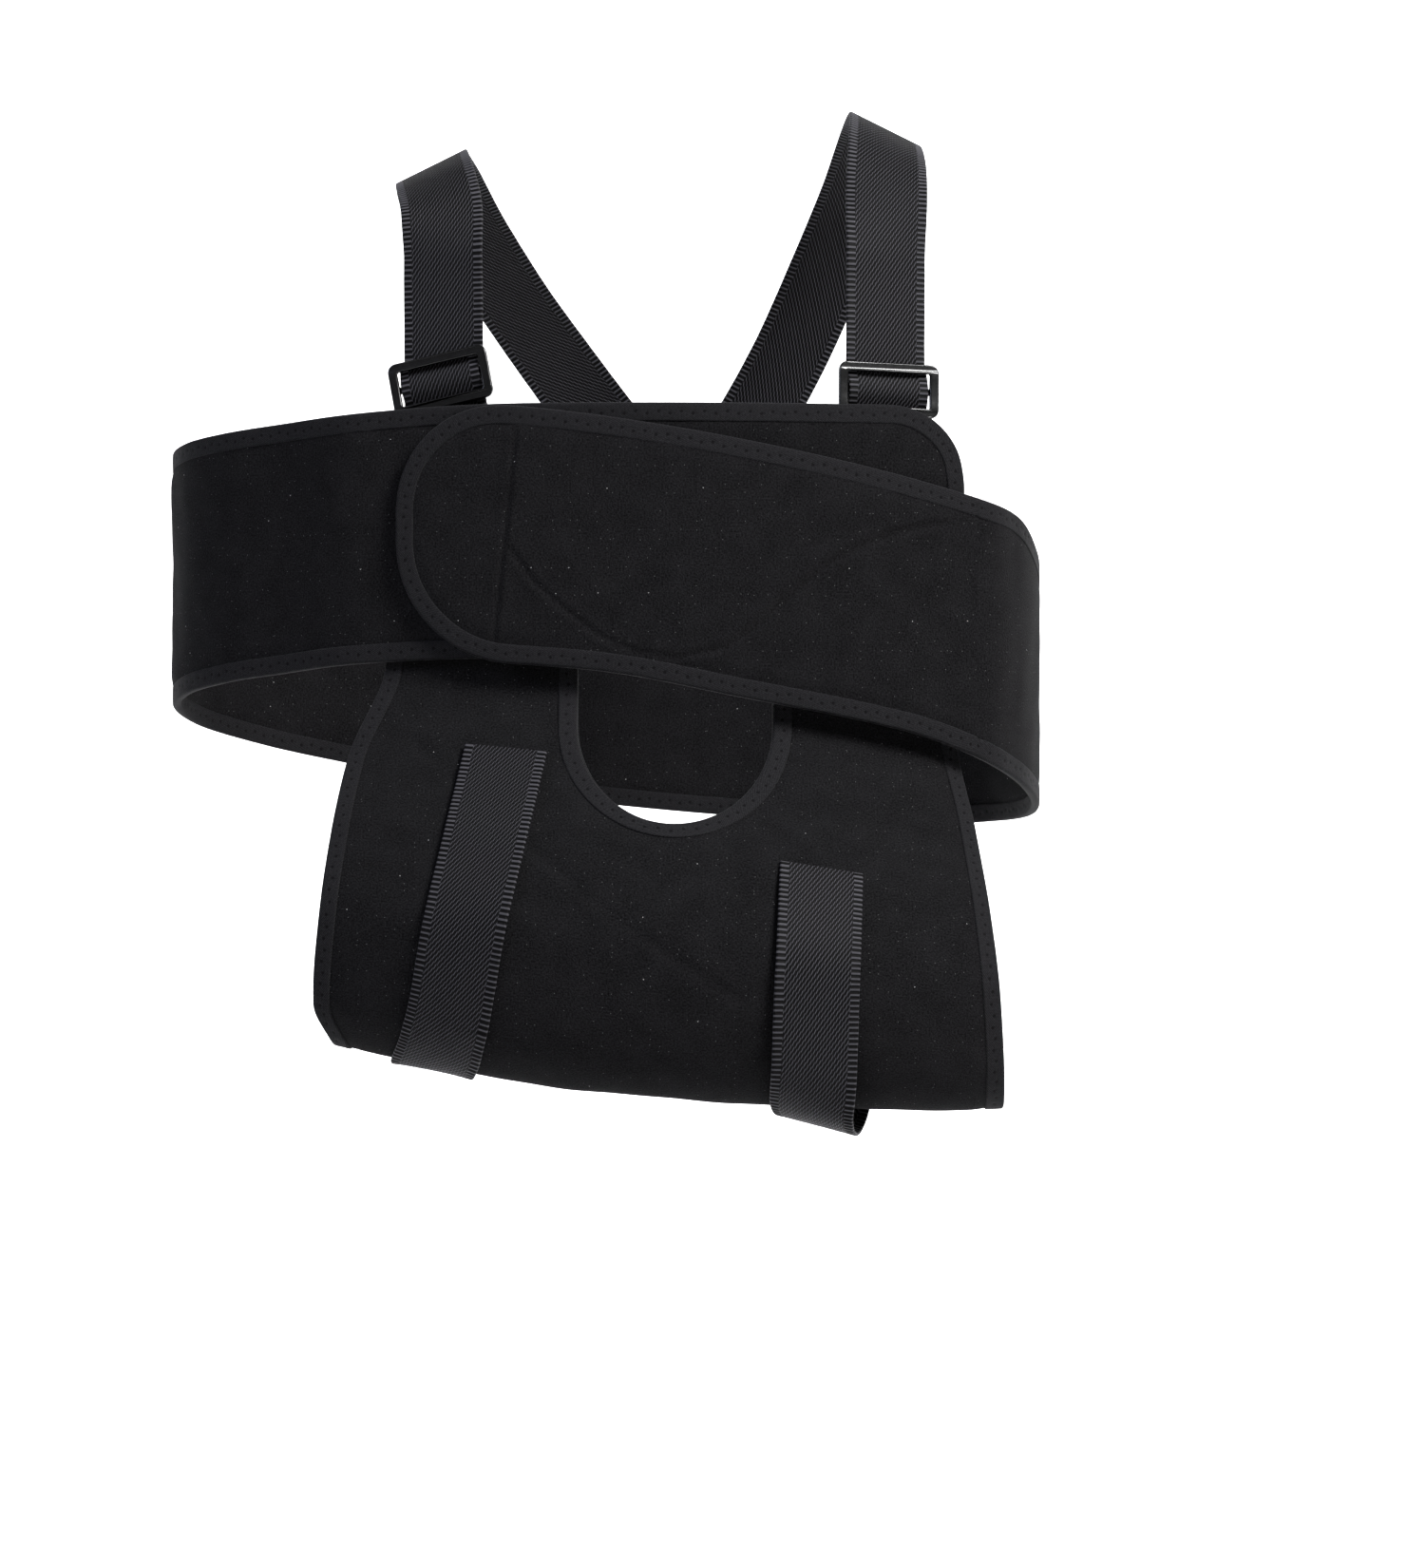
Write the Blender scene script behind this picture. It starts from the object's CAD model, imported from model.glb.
import math

import bpy
import numpy as np
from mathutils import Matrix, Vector


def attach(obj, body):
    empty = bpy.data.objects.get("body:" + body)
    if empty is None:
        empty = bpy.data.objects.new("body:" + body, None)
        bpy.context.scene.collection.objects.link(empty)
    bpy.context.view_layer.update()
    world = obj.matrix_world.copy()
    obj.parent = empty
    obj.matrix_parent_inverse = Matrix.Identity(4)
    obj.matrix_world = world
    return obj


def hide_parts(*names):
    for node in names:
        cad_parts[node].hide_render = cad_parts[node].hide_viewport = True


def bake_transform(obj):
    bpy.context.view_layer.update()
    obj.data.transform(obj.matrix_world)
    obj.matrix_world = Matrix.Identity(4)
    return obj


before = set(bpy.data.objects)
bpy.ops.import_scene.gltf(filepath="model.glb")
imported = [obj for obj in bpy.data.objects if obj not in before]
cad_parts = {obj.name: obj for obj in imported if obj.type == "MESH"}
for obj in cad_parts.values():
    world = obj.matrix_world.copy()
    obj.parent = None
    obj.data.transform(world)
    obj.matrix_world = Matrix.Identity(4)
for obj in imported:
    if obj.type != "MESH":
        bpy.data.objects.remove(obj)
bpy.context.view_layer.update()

# Shapes are worked out in millimetres in the model's own axes, and made into metres when a mesh is built.
MM = 0.001
UP = np.array([0.0, 0.0, 1.0])

WEB_WIDTH = 38.0
WEB_THICK = 1.6
BELT_THICK = 4.0
POUCH_THICK = 3.6
SEWN_THICK = 2.6        # neoprene pressed flat under its binding
PRESSED_DEPTH = 5.0     # how far in from an edge it stays pressed
PRESSED_FADE = 9.0
RELIEF_FROM = 4.0       # how far in from an edge the skins' relief starts
TAPE_WIDTH = 8.0
TAPE_THICK = 0.65
TAPE_PITCH = 5.2        # of its zigzag stitches
STITCH_ROW = 4.0        # from the binding's folded edge
STITCH_SWING = 0.5

# The wearer's chest and back are parabolas. Each skin's middle lies its layer in front of the chest.
CHEST_FRONT = -108.0
CHEST_MIDDLE_X = -20.0
CHEST_BOW = 0.00124
BACK_Y = 112.2
BACK_BOW = 0.0012
BACK_PANEL = 4.3
FRONT_PANEL = 9.6
WRAP_LAYER = 15.6
FLAP_LAYER = 21.3

# The flap's hinge, how far its bend reaches, and the rounded ends of the flap and of the end under it
HINGE_X = 128.0
UNDER_END_X = 122.0
FLAP_END_X = -137.0
CORNER_R = 34.0
FLAP_R = 50.0
HOOKS_BEHIND = BELT_THICK / 2 + 0.4     # the middle of the belt's skin
HINGE_CALM = 24.0       # how far from the hinge the relief is full

# The pouch round the forearm: y furthest in front and y behind it, as the value and x of a parabola's
# middle and its bow, and the forearm's own line, which falls to the right
POUCH_OUT = (-190.0, -5.0, 0.00115)
POUCH_BELLY = (-116.0, -20.0, 0.0007)
ARM_LEFT_X = -170.0
ARM_LEFT_Z = -160.0
ARM_SLOPE = 0.114

# The pouch's fold is lowest at its right end.
POUCH_FOLD_Z = -243.0
FOLD_RIGHT_X = 138.0
FOLD_WIDTH = 308.0
FOLD_RISE = 30.0
FOLD_POWER = 2.3

# The top of the pouch, and the centre and radius of its cut-out's round end
HORN_TOP = 58.0
CUT_X = -10.0
CUT_Z = -72.0
CUT_R = 45.0

# t runs down the pouch's front, round its fold and up its back.
PROFILE_SPANS = 13
FRONT_T = 5 / PROFILE_SPANS
FOLD_T = 7 / PROFILE_SPANS
BACK_T = 9 / PROFILE_SPANS
T_STEP = 0.004

# The webbing on the pouch: where it starts, turns and hangs slack, and how far its middle is from the skin's
STRAP_FOOT_Z = 60.0
STRAP_TOP_T = 0.985
TURN_FROM_T = 0.49
TURN_TO_T = 0.58
SLACK_T = 0.5
SLACK_SPREAD = 0.06
TAB_TOP_T = 0.36
WEB_OVER_POUCH = 3.9
FOLD_OVER_POUCH = 3.0
TAB_OVER_POUCH = 4.1


# ---- Curves and directions ----

def mix(start, end, part):
    return start + (end - start) * part


def parabola(x, middle, middle_x, bow):
    return middle + bow * (x - middle_x) ** 2


def unit(vectors):
    return vectors / np.maximum(np.linalg.norm(vectors, axis=-1, keepdims=True), 1e-9)


def ease(value):
    value = np.clip(value, 0, 1)
    return value * value * (3 - 2 * value)


def cubic(low, high, low_slope, high_slope, span, s):
    """Value at part s of a span, from the values and slopes at its two ends."""
    hold = low * (1 + 2 * s) * (1 - s) ** 2 + high * s * s * (3 - 2 * s)
    return hold + span * (low_slope * s * (1 - s) ** 2 - high_slope * s * s * (1 - s))


def smooth(knots_u, knots_v, u):
    """Values at u of a curve through knots, with no overshoot. knots_v can have a column per u."""
    us = np.asarray(knots_u, float)
    u = np.clip(np.atleast_1d(np.asarray(u, float)), us[0], us[-1])
    vs = np.asarray(knots_v, float)
    if vs.ndim == 1:
        vs = np.repeat(vs[:, None], u.size, axis=1)
    secants = np.diff(vs, axis=0) / np.diff(us)[:, None]
    before = np.vstack([secants[:1], secants])
    after = np.vstack([secants, secants[-1:]])
    agree = before * after > 0
    slopes = np.where(agree, 2 * before * after / np.where(agree, before + after, 1), 0)
    i = np.clip(np.searchsorted(us, u, side="right") - 1, 0, len(us) - 2)
    n = np.arange(u.size)
    span = us[i + 1] - us[i]
    s = (u - us[i]) / span
    return cubic(vs[i, n], vs[i + 1, n], slopes[i, n], slopes[i + 1, n], span, s)


def knots(pairs, u):
    """smooth() for a list of (u, value) pairs."""
    us, vs = zip(*sorted(pairs))
    return smooth(us, vs, u)


def lengths_along(path):
    """Length along a run of points, from 0 at the first."""
    steps = np.linalg.norm(np.diff(path, axis=0), axis=1)
    return np.concatenate([[0], np.cumsum(steps)])


def trace(points, step):
    """Evenly spaced rows along a smooth curve through the points, and their lengths along it."""
    points = np.asarray(points, float)
    at = lengths_along(points[:, :3])
    slopes = np.gradient(points, at, axis=0, edge_order=2)
    fine = np.linspace(0, at[-1], int(at[-1] / 0.5) + 2)
    i = np.clip(np.searchsorted(at, fine, side="right") - 1, 0, len(at) - 2)
    span = (at[i + 1] - at[i])[:, None]
    s = (fine[:, None] - at[i][:, None]) / span
    rows = cubic(points[i], points[i + 1], slopes[i], slopes[i + 1], span, s)
    length = lengths_along(rows[:, :3])
    stops = np.linspace(0, length[-1], max(int(round(length[-1] / step)), 2) + 1)
    return np.column_stack([np.interp(stops, length, rows[:, k]) for k in range(rows.shape[1])]), stops


def headings(points):
    """Directions along a run of points."""
    return unit(np.gradient(points, axis=0))


def noise(points, size, seed, waves=7):
    """Soft random waves about one size long, mostly from -1 to 1, at (..., n) points."""
    rng = np.random.default_rng(seed)
    flat = points.reshape(-1, points.shape[-1])
    total = np.zeros(len(flat))
    for wave in range(waves):
        direction = rng.normal(size=flat.shape[1])
        direction /= np.linalg.norm(direction)
        length = size * rng.uniform(0.7, 1.9)
        total += np.sin(flat @ direction * (2 * math.pi / length) + rng.uniform(0, 2 * math.pi))
    return (total / (waves / 2)).reshape(points.shape[:-1])


def distance_to(points, line):
    """Distance of each 2-D point from a line of 2-D points."""
    flat = points.reshape(-1, 2)
    nearest = np.full(len(flat), 1e9)
    for start, end in zip(line[:-1], line[1:]):
        along = end - start
        part = np.clip((flat - start) @ along / (along @ along), 0, 1)
        nearest = np.minimum(nearest, np.linalg.norm(flat - start - part[:, None] * along, axis=1))
    return nearest.reshape(points.shape[:-1])


# ---- Meshes ----

SHARP_ANGLE = math.radians(55)


def mesh_object(node, points, faces, uvs, material):
    """Mesh that shows a node, from points in millimetres. uvs are per point, in millimetres of cloth."""
    name = node + "_look"
    data = bpy.data.meshes.new(name)
    data.from_pydata((np.asarray(points) * MM).tolist(), [], faces)
    data.polygons.foreach_set("use_smooth", [True] * len(data.polygons))
    layer = data.uv_layers.new(name="cloth")
    corners = np.empty(len(data.loops), int)
    data.loops.foreach_get("vertex_index", corners)
    layer.data.foreach_set("uv", np.asarray(uvs, np.float32)[corners].ravel())
    data.materials.append(material)
    data.update()
    data.set_sharp_from_angle(angle=SHARP_ANGLE)
    obj = bpy.data.objects.new(name, data)
    bpy.context.scene.collection.objects.link(obj)
    return obj


def sheet_mesh(node, middle, normal, half, cloth, material, keep=None):
    """Closed sheet from a grid of middle points, normals and half thicknesses. keep picks its cells."""
    rows, columns = half.shape
    cells = np.ones((rows - 1, columns - 1), bool) if keep is None else keep
    front = middle + normal * half[..., None]
    back = middle - normal * half[..., None]
    points = np.concatenate([front.reshape(-1, 3), back.reshape(-1, 3)])
    uvs = np.concatenate([cloth.reshape(-1, 2)] * 2)
    index = np.arange(rows * columns).reshape(rows, columns)
    a, b, c, d = index[:-1, :-1], index[:-1, 1:], index[1:, 1:], index[1:, :-1]
    shift = rows * columns
    across = front[0, 1] - front[0, 0]
    along = front[1, 0] - front[0, 0]
    turned = np.dot(np.cross(across, along), normal[0, 0]) < 0
    face = np.stack([a, b, c, d], axis=-1)[cells]
    if turned:
        face = face[:, ::-1]
    faces = face.tolist() + (face[:, ::-1] + shift).tolist()
    padded = np.zeros((rows + 1, columns + 1), bool)
    padded[1:-1, 1:-1] = cells
    sides = [
        (padded[:-2, 1:-1], a, b), (padded[1:-1, 2:], b, c),
        (padded[2:, 1:-1], c, d), (padded[1:-1, :-2], d, a),
    ]
    for neighbour, first, second in sides:
        rim = cells & ~neighbour
        p, q = first[rim], second[rim]
        quads = np.stack([q, p, p + shift, q + shift], axis=-1)
        faces += (quads[:, ::-1] if turned else quads).tolist()
    return mesh_object(node, points, faces, uvs, material)


def swept_mesh(node, path, side, out, section, stops, material, lift):
    """Closed solid along a path. section is a ring of (side, out) points, which lift moves outwards."""
    count, ring = len(path), len(section)
    following = np.roll(section, -1, axis=0)
    turn = np.sign(np.sum(section[:, 0] * following[:, 1] - following[:, 0] * section[:, 1]))
    edges = following - section
    facing = np.column_stack([edges[:, 1], -edges[:, 0]]) * turn
    facing = unit(facing + np.roll(facing, 1, axis=0))
    local = section[None] + facing[None] * lift[..., None]
    points = path[:, None] + side[:, None] * local[..., :1] + out[:, None] * local[..., 1:]
    index = np.arange(count * ring).reshape(count, ring)
    after = np.roll(index, -1, axis=1)
    quads = np.stack([index[:-1], after[:-1], after[1:], index[1:]], axis=-1).reshape(-1, 4)
    ends = [index[0, ::-1].tolist(), index[-1].tolist()]
    if np.dot(np.cross(side[0], out[0]), path[1] - path[0]) * turn < 0:
        quads = quads[:, ::-1]
        ends = [end[::-1] for end in ends]
    across = np.broadcast_to(section[:, 0], (count, ring))
    along = np.broadcast_to(stops[:, None], (count, ring))
    uvs = np.stack([across, along], axis=-1).reshape(-1, 2)
    return mesh_object(node, points.reshape(-1, 3), quads.tolist() + ends, uvs, material)


# ---- Materials ----

class Finish:
    """Procedural material, with short ways to add nodes. Its pattern follows the UVs, in millimetres."""

    def __init__(self, name, roughness, specular):
        self.material = bpy.data.materials.new(name)
        self.material.use_nodes = True
        self.tree = self.material.node_tree
        self.surface = self.tree.nodes["Principled BSDF"]
        self.surface.inputs["Roughness"].default_value = roughness
        self.surface.inputs["Specular IOR Level"].default_value = specular
        uv = self.tree.nodes.new("ShaderNodeUVMap")
        uv.uv_map = "cloth"
        self.uv = uv.outputs[0]
        split = self.tree.nodes.new("ShaderNodeSeparateXYZ")
        self.join(self.uv, split.inputs[0])
        self.across = split.outputs[0]
        self.along = split.outputs[1]

    def join(self, source, target):
        if hasattr(source, "is_linked"):
            self.tree.links.new(source, target)
        else:
            target.default_value = source

    def math(self, operation, first, second=0.0):
        node = self.tree.nodes.new("ShaderNodeMath")
        node.operation = operation
        self.join(first, node.inputs[0])
        self.join(second, node.inputs[1])
        return node.outputs[0]

    def add(self, first, second):
        return self.math("ADD", first, second)

    def times(self, first, second):
        return self.math("MULTIPLY", first, second)

    def wave(self, across, along):
        """Sine wave from 0 to 1, with this many turns per millimetre in each direction."""
        sideways = self.times(self.across, across)
        turns = self.add(sideways, self.times(self.along, along))
        sine = self.math("SINE", self.times(turns, 2 * math.pi))
        return self.add(self.times(sine, 0.5), 0.5)

    def noise(self, size, detail):
        node = self.tree.nodes.new("ShaderNodeTexNoise")
        node.inputs["Scale"].default_value = 1 / size
        node.inputs["Detail"].default_value = detail
        self.join(self.uv, node.inputs["Vector"])
        return node.outputs["Fac"]

    def ramp(self, factor, stops):
        node = self.tree.nodes.new("ShaderNodeValToRGB")
        elements = node.color_ramp.elements
        while len(elements) < len(stops):
            elements.new(0.5)
        for element, (place, colour) in zip(elements, stops):
            element.position = place
            element.color = (*colour, 1)
        self.join(factor, node.inputs[0])
        return node.outputs[0]

    def marked(self, base, where, colour):
        """The base, with another colour where the mask is 1."""
        node = self.tree.nodes.new("ShaderNodeMix")
        node.data_type = "RGBA"
        self.join(where, node.inputs[0])
        self.join(base, node.inputs[6])
        self.join((*colour, 1), node.inputs[7])
        return node.outputs[2]

    def specks(self, spacing, size, share):
        """1 on stray fibres: one to a cell of this spacing, in this share of the cells."""
        node = self.tree.nodes.new("ShaderNodeTexVoronoi")
        node.voronoi_dimensions = "2D"
        node.inputs["Scale"].default_value = 1 / spacing
        self.join(self.uv, node.inputs["Vector"])
        split = self.tree.nodes.new("ShaderNodeSeparateColor")
        self.join(node.outputs["Color"], split.inputs[0])
        near = self.math("LESS_THAN", node.outputs["Distance"], size / spacing)
        return self.times(near, self.math("LESS_THAN", split.outputs[0], share))

    def bump(self, height, distance, strength):
        node = self.tree.nodes.new("ShaderNodeBump")
        node.inputs["Strength"].default_value = strength
        node.inputs["Distance"].default_value = distance * MM
        self.join(height, node.inputs["Height"])
        self.join(node.outputs[0], self.surface.inputs["Normal"])

    def colour(self, source):
        self.join(source, self.surface.inputs["Base Color"])


def neoprene_finish():
    finish = Finish("neoprene", 0.95, 0.02)
    pile = finish.noise(0.8, 3.0)
    patchy = finish.noise(14.0, 2.0)
    tone = finish.add(finish.times(pile, 0.85), finish.times(patchy, 0.15))
    cloth = finish.ramp(tone, [(0.33, (0.0008, 0.0008, 0.0009)), (0.68, (0.0108, 0.0107, 0.0115))])
    dusty = finish.marked(cloth, finish.specks(4.2, 0.18, 0.22), (0.07, 0.07, 0.07))
    finish.colour(finish.marked(dusty, finish.specks(12.0, 0.22, 0.07), (0.26, 0.26, 0.26)))
    finish.surface.inputs["Sheen Weight"].default_value = 0.015
    finish.surface.inputs["Sheen Roughness"].default_value = 0.6
    finish.bump(pile, 0.35, 0.7)
    return finish.material


HOLE_RADIUS = math.sqrt(0.5)


def stitch_holes(finish):
    """1 where the tape's zigzag stitches sink into it, 0 elsewhere."""
    turn = finish.math("ROUND", finish.math("DIVIDE", finish.along, TAPE_PITCH))
    ahead = finish.math("SUBTRACT", finish.along, finish.times(turn, TAPE_PITCH))
    odd = finish.math("ABSOLUTE", finish.math("MODULO", turn, 2.0))
    row = finish.add(STITCH_ROW + STITCH_SWING, finish.times(odd, -2 * STITCH_SWING))
    aside = finish.math("SUBTRACT", finish.across, row)
    squares = [finish.times(offset, offset) for offset in (ahead, aside)]
    return finish.math("LESS_THAN", finish.add(*squares), HOLE_RADIUS ** 2)


def binding_finish():
    finish = Finish("binding", 0.85, 0.05)
    knit = finish.wave(1 / 0.9, 1 / 1.3)
    fuzz = finish.noise(0.8, 3.0)
    height = finish.add(finish.times(knit, 0.35), fuzz)
    tape = finish.ramp(height, [(0.35, (0.0025, 0.0025, 0.0028)), (1.0, (0.015, 0.0148, 0.0162))])
    finish.colour(finish.marked(tape, stitch_holes(finish), (0.0028, 0.0028, 0.0031)))
    finish.surface.inputs["Sheen Weight"].default_value = 0.02
    finish.bump(height, 0.25, 0.7)
    return finish.material


RIB_ANGLE = math.radians(56)
RIB_PITCH = 1.65
TICK_PITCH = 2.45       # of the ribs across the selvages
SELVAGE = 4.2


def web_relief(across, along):
    """Height of the webbing's twill ribs and of the ticks on its selvages, from 0 to 1."""
    rib = (-across * math.sin(RIB_ANGLE) - along * math.cos(RIB_ANGLE)) / RIB_PITCH
    body = np.abs(np.cos(math.pi * rib)) ** 0.7
    tick = 0.5 + 0.5 * np.cos(2 * math.pi * along / TICK_PITCH)
    return np.where(np.abs(across) > WEB_WIDTH / 2 - SELVAGE, ease(tick * 1.4 - 0.2), body)


def webbing_finish():
    finish = Finish("webbing", 0.62, 0.08)
    ribs = finish.wave(-math.sin(RIB_ANGLE) / RIB_PITCH, -math.cos(RIB_ANGLE) / RIB_PITCH)
    yarns = finish.wave(1 / 0.8, 0.35)
    ticks = finish.wave(0.0, 1 / TICK_PITCH)
    edge = finish.math("GREATER_THAN", finish.math("ABSOLUTE", finish.across), WEB_WIDTH / 2 - SELVAGE)
    body = finish.add(finish.times(ribs, 0.6), finish.times(yarns, 0.4))
    inner = finish.times(finish.math("SUBTRACT", 1.0, edge), body)
    woven = finish.add(finish.times(edge, ticks), inner)
    height = finish.add(woven, finish.times(finish.noise(0.5, 2.0), 0.25))
    valley, slope, crest = (0.0004, 0.0004, 0.0005), (0.0026, 0.0025, 0.0030), (0.048, 0.047, 0.053)
    finish.colour(finish.ramp(height, [(0.35, valley), (0.7, slope), (1.0, crest)]))
    finish.bump(height, 0.35, 0.8)
    return finish.material


def plastic_finish():
    finish = Finish("black_plastic", 0.2, 0.5)
    cloudy = finish.noise(6.0, 2.0)
    finish.colour(finish.ramp(cloudy, [(0.3, (0.0014, 0.0014, 0.0016)), (0.7, (0.0030, 0.0030, 0.0033))]))
    rough = finish.add(0.16, finish.times(finish.noise(1.5, 3.0), 0.12))
    finish.join(rough, finish.surface.inputs["Roughness"])
    finish.bump(finish.noise(0.8, 2.0), 0.02, 0.4)
    return finish.material


def thread_finish():
    finish = Finish("thread", 0.85, 0.05)
    twist = finish.wave(1 / 0.5, 1 / 0.6)
    finish.colour(finish.ramp(twist, [(0.1, (0.002, 0.002, 0.0022)), (0.9, (0.009, 0.009, 0.010))]))
    finish.bump(twist, 0.08, 0.6)
    return finish.material


def hook_finish():
    finish = Finish("hook_tape", 0.5, 0.4)
    rows = finish.times(finish.wave(1 / 1.4, 0.0), finish.wave(0.0, 1 / 1.2))
    finish.colour(finish.ramp(rows, [(0.2, (0.004, 0.004, 0.004)), (0.8, (0.025, 0.025, 0.026))]))
    finish.bump(rows, 0.4, 1.0)
    return finish.material


NEOPRENE = neoprene_finish()
BINDING = binding_finish()
WEBBING = webbing_finish()
PLASTIC = plastic_finish()
THREAD = thread_finish()
HOOKS = hook_finish()


def placed(obj, body, slot, *nodes):
    """The piece rides on its body, has its slot and stands for its CAD nodes."""
    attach(obj, body)
    if nodes:
        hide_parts(*nodes)
    return obj


# ---- Belt ----

WRAP_TOP = [(-160, 71.5), (-120, 74), (-80, 75), (UNDER_END_X, 75)]
WRAP_BOTTOM = [(-160, -42.5), (-120, -40.5), (-80, -40), (UNDER_END_X, -40)]
FLAP_TOP = [(FLAP_END_X, 77), (-85, 73.5), (-39, 68), (51, 52), (HINGE_X, 33), (147, 26)]
FLAP_BOTTOM = [(FLAP_END_X, -38), (-92, -42), (-45, -46), (20, -58), (98, -74), (HINGE_X, -85), (147, -95)]

# From the outside of the upper arm round the back to the hinge: x, y, upper edge, lower edge
RING = [
    (-192, -76, 69, -46), (-222, -56, 66, -50), (-243, -30, 63, -55), (-251, 0, 59, -61),
    (-243, 32, 50, -69), (-215, 56, 39, -78), (-170, 75, 27, -88), (-120, 93, 16, -98),
    (-60, 107, 7, -106), (0, 112, 0, -112), (60, 108, -5, -116), (110, 90, -9, -118),
    (143, 60, -9, -116), (157, 25, -6, -114), (161, -15, 1, -110), (158, -50, 12, -104),
    (147, -82, 26, -95),
]

# Pressed-in fold on the flap, from the time it was packed: x, z
FLAP_FOLD = [
    (-84, 8), (-74, -6), (-61, -18), (-44, -31), (-28, -38), (-9, -41), (13, -36), (28, -25), (43, -11),
    (57, 1), (72, 9), (87, 16), (104, 20), (124, 23),
]
FLAP_SEAM = [(-92, -32), (-82, 62)]
UNDER_SEAM_X = 75.5
UNDER_SEAM = [(UNDER_SEAM_X, -30), (UNDER_SEAM_X, 65)]


def chest_y(x):
    """The front of the wearer's chest, which falls away to both sides."""
    return parabola(x, CHEST_FRONT, CHEST_MIDDLE_X, CHEST_BOW)


def chest_across(x):
    """Level direction along the chest, not of unit length."""
    return np.column_stack([np.ones_like(x), 2 * CHEST_BOW * (x - CHEST_MIDDLE_X), np.zeros_like(x)])


def round_end(end_x, away, radius):
    """(x, inset) pairs round an end of the belt. away is 1 or -1: the way along X that it points."""
    angles = np.radians(np.arange(90, 0, -6))
    return np.column_stack([end_x - away * radius * (1 - np.sin(angles)), radius * (1 - np.cos(angles))])


def front_stations(pairs, layer, top, bottom):
    """(x, y, 0, upper edge, lower edge) on the chest for (x, inset) pairs."""
    x, inset = np.asarray(pairs, float).T
    return np.column_stack([x, chest_y(x) - layer, x * 0, knots(top, x) - inset, knots(bottom, x) + inset])


def wrap_stations():
    pairs = round_end(UNDER_END_X, 1, CORNER_R).tolist()
    pairs += [(x, 0) for x in range(int(UNDER_END_X - CORNER_R), -170, -19)]
    ring = [(x, y, 0, top, bottom) for x, y, top, bottom in RING]
    hinge = front_stations([(HINGE_X + 3, 0), (HINGE_X, 0)], FLAP_LAYER, FLAP_TOP, FLAP_BOTTOM)
    return np.vstack([front_stations(pairs, WRAP_LAYER, WRAP_TOP, WRAP_BOTTOM), ring, hinge])


def flap_stations():
    pairs = round_end(FLAP_END_X, -1, FLAP_R).tolist()
    pairs += [(x, 0) for x in np.linspace(FLAP_END_X + FLAP_R, HINGE_X, 16)]
    return front_stations(pairs, FLAP_LAYER, FLAP_TOP, FLAP_BOTTOM)


def belt_rows(stations, step):
    """Evenly spaced stations, their outward normals and their lengths from the belt's end."""
    rows, stops = trace(stations, step)
    ahead = headings(rows[:, :3])
    out = unit(np.column_stack([-ahead[:, 1], ahead[:, 0], ahead[:, 0] * 0]))
    return rows, out * -np.sign(out[0, 1]), stops


def pressed_half(depth, thick):
    """Half the thickness of a skin at a depth from its edge, where its binding presses it flat."""
    return mix(SEWN_THICK, thick, ease((depth - PRESSED_DEPTH) / PRESSED_FADE)) / 2


def belt_sheet(node, stations, step, columns, relief):
    """Skin of the belt. relief gives how far it stands out at a grid of points."""
    rows, out, stops = belt_rows(stations, step)
    part = np.linspace(0, 1, columns)[None, :]
    z = mix(rows[:, 4:5], rows[:, 3:4], part)
    x = np.broadcast_to(rows[:, :1], z.shape)
    y = np.broadcast_to(rows[:, 1:2], z.shape)
    middle = np.stack([x, y, z], axis=-1)
    cloth = np.stack([z, np.broadcast_to(stops[:, None], z.shape)], axis=-1)
    normal = np.broadcast_to(out[:, None], middle.shape)
    end = stops < 2 * max(CORNER_R, FLAP_R)
    upper = np.column_stack([rows[end, 3], stops[end]])
    lower = np.column_stack([rows[end, 4], stops[end]])
    depth = np.minimum(rows[:, 3:4] - z, z - rows[:, 4:5])
    depth[end] = np.minimum(depth[end], distance_to(cloth[end], np.concatenate([upper[::-1], lower])))
    half = pressed_half(depth, BELT_THICK)
    hinge = (HINGE_X, chest_y(HINGE_X) - FLAP_LAYER)
    from_hinge = np.linalg.norm(middle[..., :2] - hinge, axis=-1)
    loose = ease((depth - RELIEF_FROM) / 10) * ease(from_hinge / HINGE_CALM)
    middle = middle + normal * (relief(middle) * loose)[..., None]
    return sheet_mesh(node, middle, normal, half, cloth, NEOPRENE)


def groove(distance, depth, width):
    """A pressed line with a soft lip on both sides."""
    return depth * (0.45 * np.exp(-(distance / (2.4 * width)) ** 2) - np.exp(-(distance / width) ** 2))


def ridge(distance, height, width):
    """A fold that stands out, and falls off to both sides."""
    return height * np.exp(-np.sqrt(distance ** 2 + 2) / width)


def wrap_relief(points):
    """The under end's seam, which is only on the chest, and waves where the belt lies on nothing flat."""
    off_chest = np.where(points[..., 1] < -60, 0, 50)
    seam = groove(np.abs(points[..., 0] - UNDER_SEAM_X) + off_chest, 0.5, 1.1)
    free = np.clip(ease((-points[..., 0] - 130) / 60) + ease((points[..., 1] + 40) / 60), 0, 1)
    return seam + noise(points, 60, 3) * 1.1 * free + noise(points, 24, 4) * 0.25


def flap_relief(points):
    """The pressed-in fold, deeper to the right, and the seam, right of which the flap is thicker."""
    flat = points[..., [0, 2]]
    rightward = ease((flat[..., 0] + 20) / 60)
    from_fold = distance_to(flat, np.array(FLAP_FOLD, float))
    fold = groove(from_fold, mix(1.0, 2.2, rightward), mix(1.7, 2.1, rightward))
    seam = groove(distance_to(flat, np.array(FLAP_SEAM, float)), 1.3, 1.5)
    (low_x, low_z), (high_x, high_z) = FLAP_SEAM
    seam_x = mix(low_x, high_x, (flat[..., 1] - low_z) / (high_z - low_z))
    patch = 0.6 * ease((flat[..., 0] - seam_x) / 3 + 0.5)
    return fold + seam + patch + noise(points, 70, 5) * 0.5 + noise(points, 22, 6) * 0.2


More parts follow.
